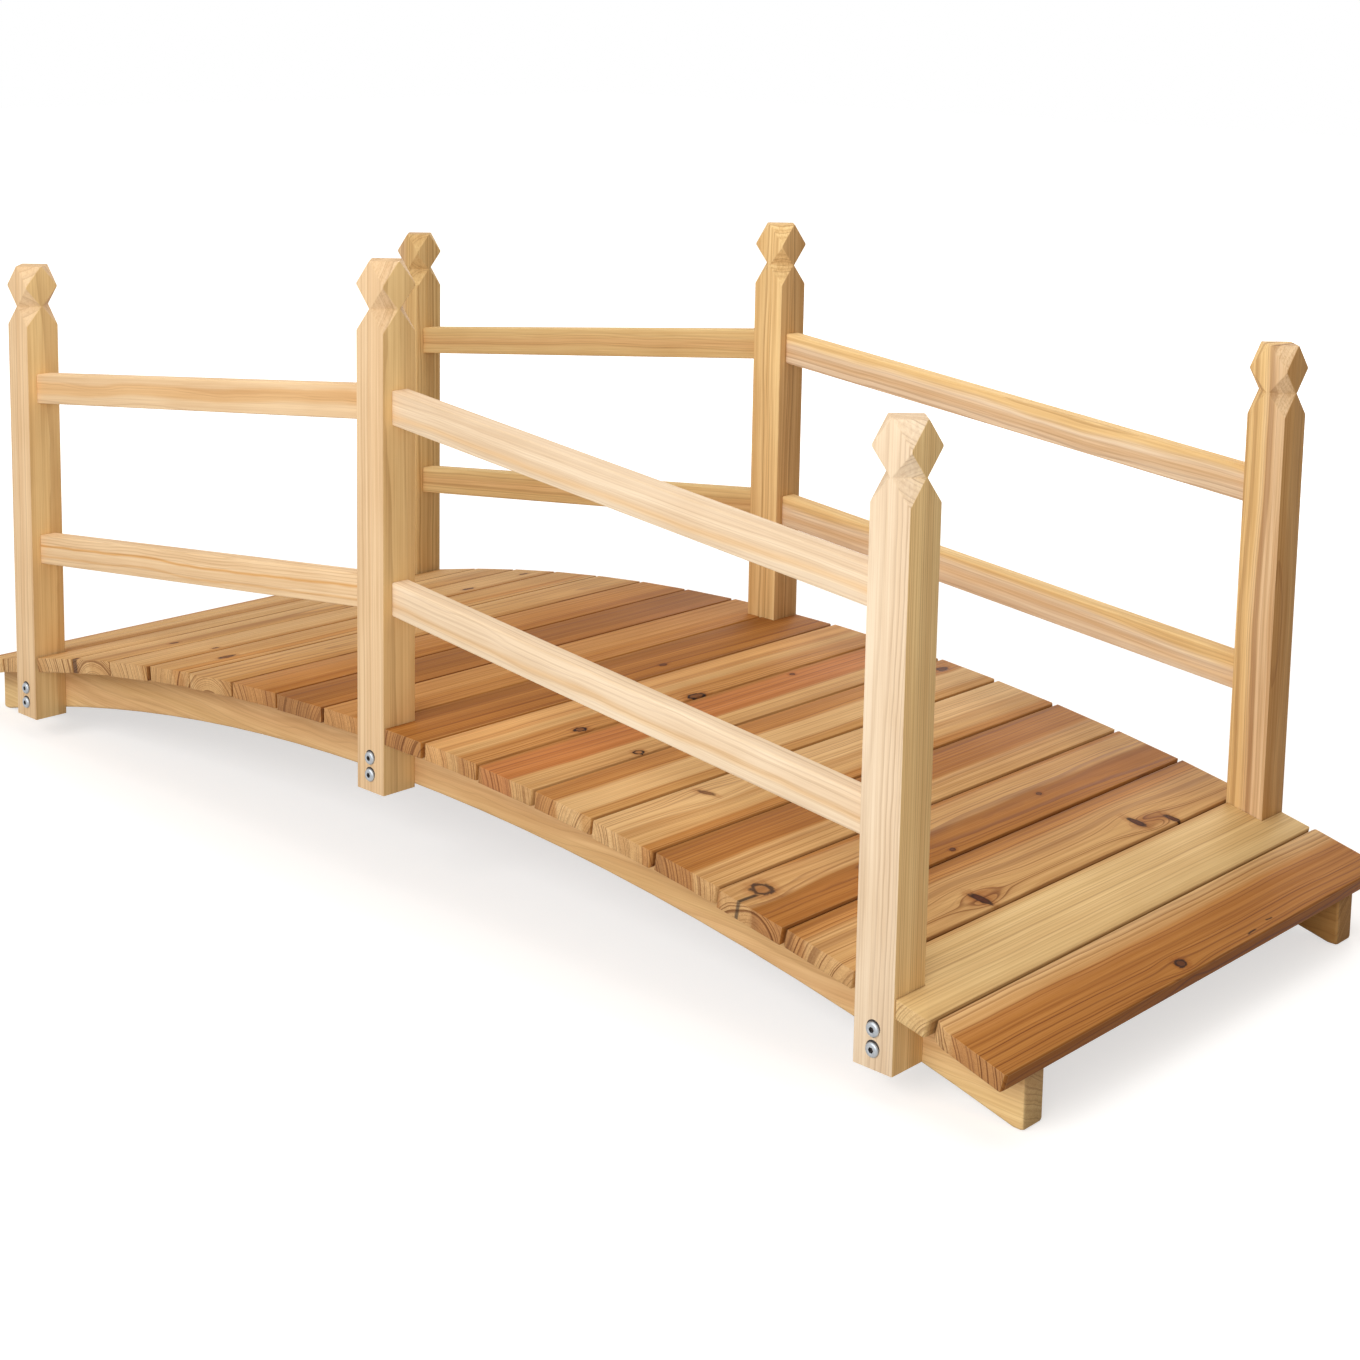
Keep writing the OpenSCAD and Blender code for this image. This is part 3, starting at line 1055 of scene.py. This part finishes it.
@dataclass
class Deck:
    """The cross boards, each from its own plank, from the left end to the right."""

    joinery: Joinery
    width: float = 83.0
    ease: float = 0.7 * MM
    # Shade of the seams, which is darker on the first boards from the left
    seam: float = 0.55
    left_seam: float = 0.95
    left_count: int = 9
    # Most that an end is set back or askew, and the least and most that a corner loses
    # across and along the board, in millimetres
    end_loss: float = 2.6
    end_skew: float = 1.6
    corner_across: tuple[float, float] = (1.4, 3.6)
    corner_along: tuple[float, float] = (1.6, 5.0)
    broken_board: int = 20
    broken_loss: float = 9.0
    first_seed: int = 40

    def planks(self) -> tuple[Timber, ...]:
        """Cut, colours and knots of each board.

        The bands are followed by the pith, the tilt, the ring and its contrast, and the wave.

        Returns:
            The timber of each board, from the left end.
        """
        tan, sand, pink, honey = Tone.TAN, Tone.SAND, Tone.PINK, Tone.HONEY
        copper, russet, brown = Tone.COPPER, Tone.RUSSET, Tone.BROWN
        left, right = (-78.0, -24.0), (78.0, -24.0)
        return (
            Timber(((0.25, pink), (0.5, tan), (1.0, sand)), left, (4, 0), 4.6, 0.8, seed=83.3),
            Timber(((0.45, sand), (0.65, tan), (1.0, honey)), right, (-6, 4), 4.2, 0.8,
                   seed=86.6),
            Timber(((0.12, honey), (0.3, tan), (1.0, sand)), left, (8, 2), 4.4, 0.85, seed=89.9),
            Timber(((0.5, sand), (1.0, tan)), (10, -36), (14, 10), 4.4, 0.85, 1.6, seed=93.2,
                   knots=(Knot(-223, 13, 4.2, 1.3, 0.95, 0.9),
                          Knot(-337, -36, 4.5, 1.0, 1.0, 0.6))),
            Timber(((0.86, sand), (1.0, honey)), left, (-5, 3), 4.0, 0.85, 1.6, seed=96.5,
                   knots=(Knot(-228, 25, 3.0), Knot(192, 21, 4.6, 1.8, 0.95, 0.9),
                          Knot(310, 6, 3.6, 1.8))),
            Timber(((0.6, tan), (0.82, pink), (1.0, tan)), right, (10, -4), 4.4, 0.9, 1.8,
                   seed=99.8, knots=(Knot(-257, 4, 5.0, 2.0, 0.8, 0.8),)),
            Timber(((0.14, sand), (0.82, tan), (1.0, honey)), (4, -30), (16, 12), 3.6, 0.8, 1.4,
                   seed=103.1),
            Timber(((0.3, pink), (0.7, copper), (1.0, russet)), left, (6, 2), 5.0, 0.55,
                   seed=106.4),
            Timber(((0.8, brown), (1.0, russet)), right, (-8, 3), 4.0, 0.7, seed=109.7),
            Timber(((0.6, pink), (1.0, copper)), left, (7, -3), 4.2, 0.6, seed=113.0),
            Timber(((0.34, brown), (1.0, russet)), right, (5, 2), 4.4, 0.6, seed=116.3,
                   knots=(Knot(52, 19, 3.2, 1.6, 0.8, 0.6),)),
            Timber(((0.45, Tone.AMBER), (0.65, tan), (1.0, pink)), left, (9, -5), 4.4, 0.6, 1.6,
                   seed=119.6, knots=(Knot(-181, 33, 5.0, 1.4, 0.6, 1.0),
                                      Knot(-1, 37, 6.4, 1.7, 0.7, 1.0))),
            Timber(((0.1, russet), (0.64, Tone.ORANGE), (1.0, tan)), left, (3, 2), 4.2, 0.5,
                   seed=122.9, knots=(Knot(-178, 34, 4.6, 1.2, 0.2, 1.0), Knot(146, -30, 2.6))),
            Timber(((0.42, copper), (0.84, sand), (1.0, honey)), right, (-4, 3), 4.2, 0.6,
                   seed=126.2, knots=(Knot(311, -19, 4.6, 1.7, 0.9, 0.7),)),
            Timber(((0.48, sand), (0.84, tan), (1.0, copper)), left, (6, 4), 4.0, 0.65, 1.6,
                   seed=129.5, knots=(Knot(-196, -21, 9.0, 0.4, 0.7, 0.4, 24.0),)),
            Timber(((0.14, brown), (0.62, russet), (1.0, tan)), left, (-6, -2), 4.2, 0.6,
                   seed=132.8),
            Timber(((0.13, russet), (0.5, tan), (0.62, brown), (1.0, russet)), (8, -22), (10, 14),
                   4.0, 0.65, 1.6, seed=136.1,
                   knots=(Knot(-303, -18, 9.0, 1.1, 0.2, 0.85), Knot(115, 6, 2.4),
                          Knot(-73, 33, 2.4)),
                   splits=(Split(-352, -310, -14, 3.2),)),
            Timber(((0.13, brown), (0.28, copper), (1.0, tan)), right, (5, 3), 5.0, 0.9, 1.2,
                   seed=139.4, knots=(Knot(-127, 24, 11.0, 0.42, 1.0, 0.8, 12.0),
                                      Knot(158, 17, 10.0, 0.42, 1.0, 0.8, 12.0),
                                      Knot(203, 33, 9.0, 0.42, 1.0, 0.8, 12.0),
                                      Knot(-122, 22, 6.5, 2.2, 0.0, 0.0),
                                      Knot(176, 22, 6.0, 2.6, 0.0, 0.0))),
            Timber(((0.1, tan), (1.0, Tone.STRAW)), right, (4, 2), 3.2, 0.45, 1.0, stripe=0.34,
                   seed=142.7),
            Timber(((0.16, sand), (0.3, tan), (0.42, copper), (1.0, russet)), (-110, -70), (8, 4),
                   6.0, 0.95, 1.2, seed=146.0, knots=(Knot(-39, 27, 5.0, 1.3, 0.95, 0.9),),
                   splits=(Split(70, 90, 35, 1.4), Split(112, 126, 30, 1.2))),
        )

    def wear(self, number: int) -> Wear:
        """What the ends of a board have lost.

        Args:
            number: The board's number from the left end, from 1.

        Returns:
            The losses.
        """
        dice = random.Random(self.first_seed + number)
        near, far = dice.uniform(0.0, self.end_loss), dice.uniform(0.0, self.end_loss)
        skew = dice.uniform(0.0, self.end_skew)
        corners = tuple((dice.uniform(*self.corner_across), dice.uniform(*self.corner_along))
                        for _ in range(4))
        broken = self.broken_loss if number == self.broken_board else 0.0
        return Wear(near, far, skew, broken, corners=corners)

    def build(self) -> None:
        """Make all boards, their grain across the bridge."""
        for i, timber in enumerate(self.planks(), start=1):
            node = f"deck_board_{i:02d}"
            turn = Euler((0.0, self.joinery.lean(node), 0.0)).to_matrix()
            lie = lie_of(node, turn, self.width)
            seam = self.left_seam if i <= self.left_count else self.seam
            plank = replace(timber, seam=seam)
            self.joinery.finish(node, Slot.DECK, plank, lie, self.ease, self.wear(i))


@dataclass
class Bolts:
    """Two button-head bolts, each low in its bore, through the foot of each post; their bores and
    sockets hold painted shade.
    """

    steel: ZincSteel = field(default_factory=ZincSteel)
    # Dark matt colour, painted shade for the top of each bore and the inside of each socket
    shade: ZincSteel = field(default_factory=lambda: ZincSteel("332c2a", 0.7, 0.0))
    pitch: float = 19.0 * MM
    above_foot: float = 28.5 * MM
    head_r: float = 7.2 * MM
    head_h: float = 3.2 * MM
    # Outline of the head from its middle below, in shares of its radius and height
    head_outline: tuple[tuple[float, float], ...] = (
        (0.0, 0.0), (1.0, 0.0), (1.0, 0.35), (0.96, 0.6), (0.84, 0.85), (0.66, 0.97),
    )
    socket_r: float = 2.8 * MM
    socket_deep: float = 2.6 * MM
    # The socket's eased mouth, and how far its six flats lie inside its radius
    mouth_share: float = 1.12
    mouth_deep: float = 0.2 * MM
    flat_share: float = 0.92
    # A dark disc a little above the head, painted shade for the shadow at the top of the bore
    bore_r: float = 7.6 * MM
    bore_rise: float = 1.2 * MM
    bore_h: float = 0.12 * MM
    sides: int = 36
    weld: float = 0.002 * MM
    sharp_angle: float = math.radians(32)

    def turned(self, shape: bmesh.types.BMesh, outline: list[tuple[float, float]]) -> None:
        """Turn an outline about local Z.

        Args:
            shape: The mesh to add to.
            outline: Radius and height of each point, in metres.
        """
        points = [shape.verts.new((r, 0.0, z)) for r, z in outline]
        edges = [shape.edges.new(pair) for pair in zip(points, points[1:])]
        bmesh.ops.spin(shape, geom=points + edges, cent=(0, 0, 0), axis=(0, 0, 1),
                       angle=math.tau, steps=self.sides, use_merge=True)

    def bore(self, shape: bmesh.types.BMesh) -> None:
        """Add a dark disc a little above the bolt, painted shade for the shadow in its bore.

        Args:
            shape: The mesh to add to.
        """
        self.turned(shape, [(0.0, 0.0), (self.bore_r, 0.0), (self.bore_r, self.bore_h),
                            (0.0, self.bore_h)])
        bmesh.ops.translate(shape, vec=(0.0, self.bore_rise, 0.0), verts=shape.verts)
        for face in shape.faces:
            face.material_index = 1

    def head(self, shape: bmesh.types.BMesh) -> None:
        """Add the bolt's head with its hexagon socket.

        Args:
            shape: The mesh to add to.
        """
        start = len(shape.verts)
        top, floor = self.head_h, self.head_h - self.socket_deep
        outline = [(self.head_r * r, top * z) for r, z in self.head_outline]
        outline += [(self.socket_r * self.mouth_share, top), (self.socket_r, top - self.mouth_deep),
                    (self.socket_r, floor), (0.0, floor)]
        self.turned(shape, outline)
        shape.verts.ensure_lookup_table()
        for vert in shape.verts[start:]:
            radius = math.hypot(vert.co.x, vert.co.y)
            if abs(radius - self.socket_r) < 0.01 * MM:
                turn = math.atan2(vert.co.y, vert.co.x) % (math.pi / 3) - math.pi / 6
                flat = self.flat_share / math.cos(turn)
                vert.co.x *= flat
                vert.co.y *= flat

    def bolt(self) -> bmesh.types.BMesh:
        """One bolt in its bore, standing on z = 0, with the faces of its painted shade marked.

        Returns:
            The bolt's shape.
        """
        shape = bmesh.new()
        self.bore(shape)
        self.head(shape)
        bmesh.ops.remove_doubles(shape, verts=shape.verts, dist=self.weld)
        bmesh.ops.recalc_face_normals(shape, faces=shape.faces)
        # Painted shade inside the socket
        for face in shape.faces:
            if face.calc_center_median().xy.length < self.socket_r:
                face.material_index = 1
        return shape

    def fit(self, name: str, place: Matrix, steel_and_shade: tuple[bpy.types.Material, ...]) -> None:
        """Set one bolt.

        Args:
            name: The bolt's name.
            place: Where it sits and how it is turned.
            steel_and_shade: The steel, and the painted shade of the bore and the socket.
        """
        shape = self.bolt()
        bmesh.ops.transform(shape, matrix=place, verts=shape.verts)
        mesh = bpy.data.meshes.new(name)
        shape.to_mesh(mesh)
        shape.free()
        mesh.shade_smooth()
        mesh.set_sharp_from_angle(angle=self.sharp_angle)
        for finish in steel_and_shade:
            mesh.materials.append(finish)
        place_piece(name, mesh, Slot.BOLT)

    def build(self) -> None:
        """Set two bolts in the outer face of each post."""
        steel_and_shade = (self.steel.material("zinc_steel"), self.shade.material("bore_shade"))
        for side, half_turn in (("near", 0.0), ("far", math.pi)):
            turn = Euler((math.pi / 2, 0.0, half_turn)).to_matrix().to_4x4()
            for station in ("left", "middle", "right"):
                low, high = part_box(f"post_{side}_{station}")
                face = high.y if half_turn else low.y
                for row, level in (("upper", 0.5), ("lower", -0.5)):
                    height = low.z + self.above_foot + level * self.pitch
                    spot = Matrix.Translation(((low.x + high.x) / 2, face, height))
                    self.fit(f"bolt_{side}_{station}_{row}", spot @ turn, steel_and_shade)


@dataclass(frozen=True)
class Lamp:
    """A soft square lamp: its place and side in metres, and its power in watts."""

    name: str
    place: Point
    size: float
    power: float

    def hang(self, target: Vector) -> None:
        """Hang the lamp so that it faces a point.

        Args:
            target: The point.
        """
        light = bpy.data.lights.new(self.name, "AREA")
        light.size = self.size
        light.energy = self.power
        lamp = bpy.data.objects.new(self.name, light)
        turn = (target - Vector(self.place)).to_track_quat("-Z", "Y").to_matrix().to_4x4()
        lamp.matrix_world = Matrix.Translation(self.place) @ turn
        bpy.context.scene.collection.objects.link(lamp)


@dataclass
class Studio:
    """Floor, soft light and the camera."""

    eye: Point = (1.8776, -1.8678, 0.9636)
    # Degrees to the left of +Y, down, and about the line of sight
    bearing: float = 43.13
    dip: float = 8.53
    roll: float = 1.03
    # Focal length and upward shift, in widths of the picture
    focus: float = 2312.1 / 1360
    drop: float = -0.25
    film: float = 36.0
    sight: float = 100.0
    ambient: tuple[float, float, float] = (0.39, 0.34, 0.28)
    target: Point = (0.0, 0.0, 0.3)
    lamps: tuple[Lamp, ...] = (
        Lamp("key", (-0.9, -6.2, 4.2), 4.0, 203.0),
        Lamp("fill", (1.6, -3.3, 1.5), 1.8, 45.0),
        Lamp("top", (0.4, 0.3, 3.6), 2.6, 46.0),
        Lamp("back", (-1.6, 4.6, 2.4), 2.4, 60.0),
    )
    floor_half: float = 14.0
    floor_cells: int = 8
    floor_drop: float = 0.4 * MM
    floor_grey: Rgba = (0.55, 0.55, 0.55, 1.0)
    # White that the floor adds under the bridge, and where it grows to full white
    floor_glow: float = 0.62
    glow_reach: tuple[float, float] = (1.0, 2.6)

    def camera(self) -> None:
        """Make the camera."""
        bearing, dip, roll = (math.radians(v) for v in (self.bearing, self.dip, self.roll))
        ahead = Vector((-math.sin(bearing) * math.cos(dip), math.cos(bearing) * math.cos(dip),
                        -math.sin(dip)))
        side = Vector((math.cos(bearing), math.sin(bearing), 0.0))
        up = side.cross(ahead)
        across = side * math.cos(roll) + up * math.sin(roll)
        above = up * math.cos(roll) - side * math.sin(roll)
        lens = bpy.data.cameras.new("camera")
        lens.sensor_width = self.film
        lens.lens = self.film * self.focus
        lens.shift_y = self.drop
        lens.clip_end = self.sight
        camera = bpy.data.objects.new("camera", lens)
        turn = Matrix((across, above, -ahead)).transposed().to_4x4()
        camera.matrix_world = Matrix.Translation(self.eye) @ turn
        bpy.context.scene.collection.objects.link(camera)
        bpy.context.scene.camera = camera

    def seen(self, graph: Graph) -> Signal:
        """Which rays see the white of the floor and the world.

        Args:
            graph: The tree to build in.

        Returns:
            One for rays that come from the camera, a gloss or a glass, otherwise zero.
        """
        path = graph.node("ShaderNodeLightPath")
        seen = graph.level(path, "Is Camera Ray")
        for ray in ("Is Glossy Ray", "Is Transmission Ray"):
            seen = seen.math("MAXIMUM", graph.level(path, ray))
        return seen

    def floor_finish(self) -> bpy.types.Material:
        """White that lets a soft shadow show near the bridge.

        Returns:
            The material.
        """
        graph = Graph(bpy.data.materials.new("white_floor"))
        spot = graph.node("ShaderNodeTexCoord").outputs["Object"]
        length = graph.node("ShaderNodeVectorMath", {"operation": "LENGTH"}, {0: spot})
        away = graph.level(length, "Value").rise(*self.glow_reach)
        lift = self.seen(graph) * (away * (1.0 - self.floor_glow) + self.floor_glow)
        white = graph.mix(lift, BLACK, WHITE)
        matt = graph.node("ShaderNodeBsdfDiffuse", None, {"Color": self.floor_grey})
        glow = graph.node("ShaderNodeEmission", None, {"Color": white, "Strength": 1.0})
        both = {0: matt.outputs[0], 1: glow.outputs[0]}
        return graph.close(graph.node("ShaderNodeAddShader", None, both))

    def floor(self) -> None:
        """Lay a wide floor just under the bridge."""
        shape = bmesh.new()
        bmesh.ops.create_grid(shape, x_segments=self.floor_cells, y_segments=self.floor_cells,
                              size=self.floor_half)
        bmesh.ops.translate(shape, vec=(0.0, 0.0, -self.floor_drop), verts=shape.verts)
        mesh = bpy.data.meshes.new("floor")
        shape.to_mesh(mesh)
        shape.free()
        mesh.materials.append(self.floor_finish())
        floor = bpy.data.objects.new("floor", mesh)
        bpy.context.scene.collection.objects.link(floor)

    def sky(self) -> None:
        """Make the world white to the eye and dimmer as a light."""
        graph = Graph(bpy.data.worlds.new("studio"))
        white = graph.mix(self.seen(graph), (*self.ambient, 1.0), WHITE)
        back = graph.node("ShaderNodeBackground", None, {"Color": white, "Strength": 1.0})
        bpy.context.scene.world = graph.close(back)

    def build(self) -> None:
        """Set up the whole studio."""
        self.camera()
        self.floor()
        self.sky()
        for lamp in self.lamps:
            lamp.hang(Vector(self.target))
        bpy.context.scene.view_settings.view_transform = "Standard"


def main() -> None:
    """Build the bridge's pieces and the studio, and log each piece's face count."""
    logging.basicConfig(level=logging.INFO, format="%(name)s %(message)s")
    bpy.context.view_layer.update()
    joinery = Joinery()
    Studio().build()
    for assembly in (Stringers(joinery), Posts(joinery), Rails(joinery), Deck(joinery), Bolts()):
        LOG.info("building %s", type(assembly).__name__.lower())
        assembly.build()
    bpy.context.view_layer.update()


if __name__ == "__main__":
    main()
